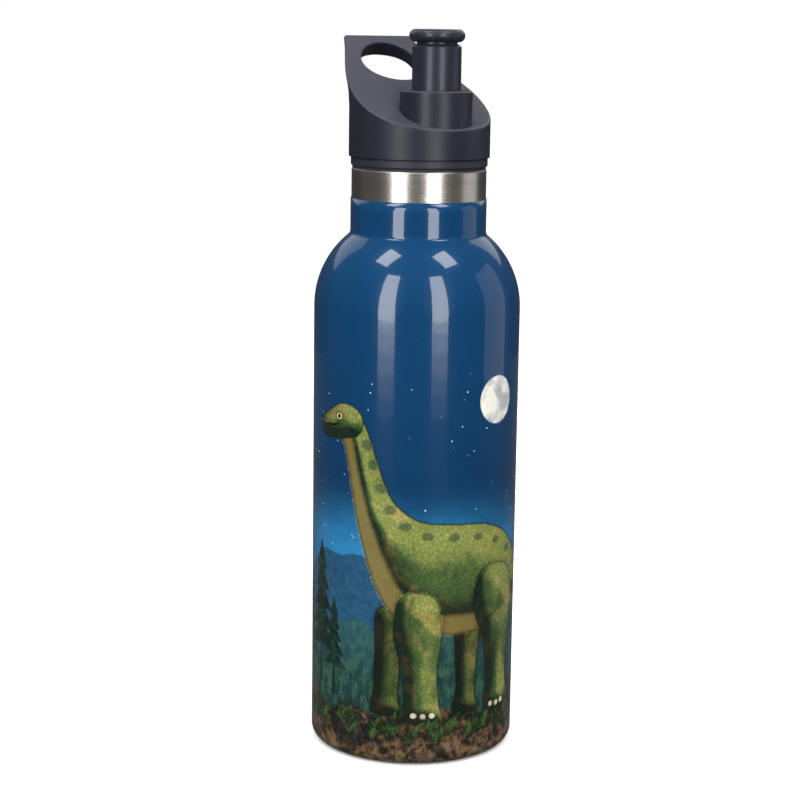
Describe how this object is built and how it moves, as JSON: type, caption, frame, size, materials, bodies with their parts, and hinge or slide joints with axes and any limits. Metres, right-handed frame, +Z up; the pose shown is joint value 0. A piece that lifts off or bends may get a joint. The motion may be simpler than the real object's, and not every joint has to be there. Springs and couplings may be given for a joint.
{
  "type": "kids water bottle",
  "caption": "Slim double-wall steel drinking bottle with a glossy printed coat, bare neck band, screw-in sports cap, push-pull spout and carry loop.",
  "frame": {"origin": "centre of the foot, on the surface that the bottle stands on", "axes": "+Z up along the bottle's axis; the spout stands towards -Y and the carry loop towards +Y"},
  "size_m": [0.07, 0.07, 0.2443],
  "materials": {
    "brushed_steel": "turned satin stainless with fine lines round the neck",
    "plain_steel": "electropolished stainless, hidden inside",
    "printed_paint": "glossy blue paint with a printed picture under clear lacquer",
    "foil": "bright wrapped foil",
    "solder": "dull solder",
    "getter_metal": "sintered metal pill",
    "lid_plastic": "fine satin moulded polypropylene, dark navy",
    "insert_plastic": "satin moulded polypropylene, dark navy",
    "spout_plastic": "semi-gloss moulded polypropylene, dark navy",
    "soft_lip": "soft moulded elastomer, dark navy",
    "silicone": "soft silicone, dark navy"
  },
  "bodies": {
    "bottle": {"outer_shell": "brushed_steel", "body_coat": "printed_paint", "inner_vessel": "plain_steel", "inner_base": "plain_steel", "reflective_foil": "foil", "outer_base": "plain_steel", "vacuum_seal": "solder", "getter": "getter_metal"},
    "seal": {"cap_gasket": "silicone"},
    "cap": {"cap_shell": "lid_plastic", "spout_collar": "lid_plastic", "cap_insert": "insert_plastic", "collar_o_ring": "silicone", "valve_post": "insert_plastic", "vent_valve": "silicone"},
    "spout": {"nozzle_sleeve": "spout_plastic", "mouthpiece": "soft_lip", "nozzle_o_ring": "silicone"}
  },
  "joints": [
    {"name": "cap_lift", "type": "slide", "parent": "bottle", "child": "seal", "axis": [0, 0, 1], "range_m": [0, 0.016]},
    {"name": "cap_turn", "type": "hinge", "parent": "seal", "child": "cap", "pos_m": [0, 0, 0.2], "axis": [0, 0, 1], "range_deg": [0, 1440]},
    {"name": "spout_pull", "type": "slide", "parent": "cap", "child": "spout", "axis": [0, 0, 1], "range_m": [0, 0.0062]}
  ],
  "couplings": [
    {"joint": "cap_lift", "follows": "cap_turn", "m_per_rad": 0.00063662}
  ]
}
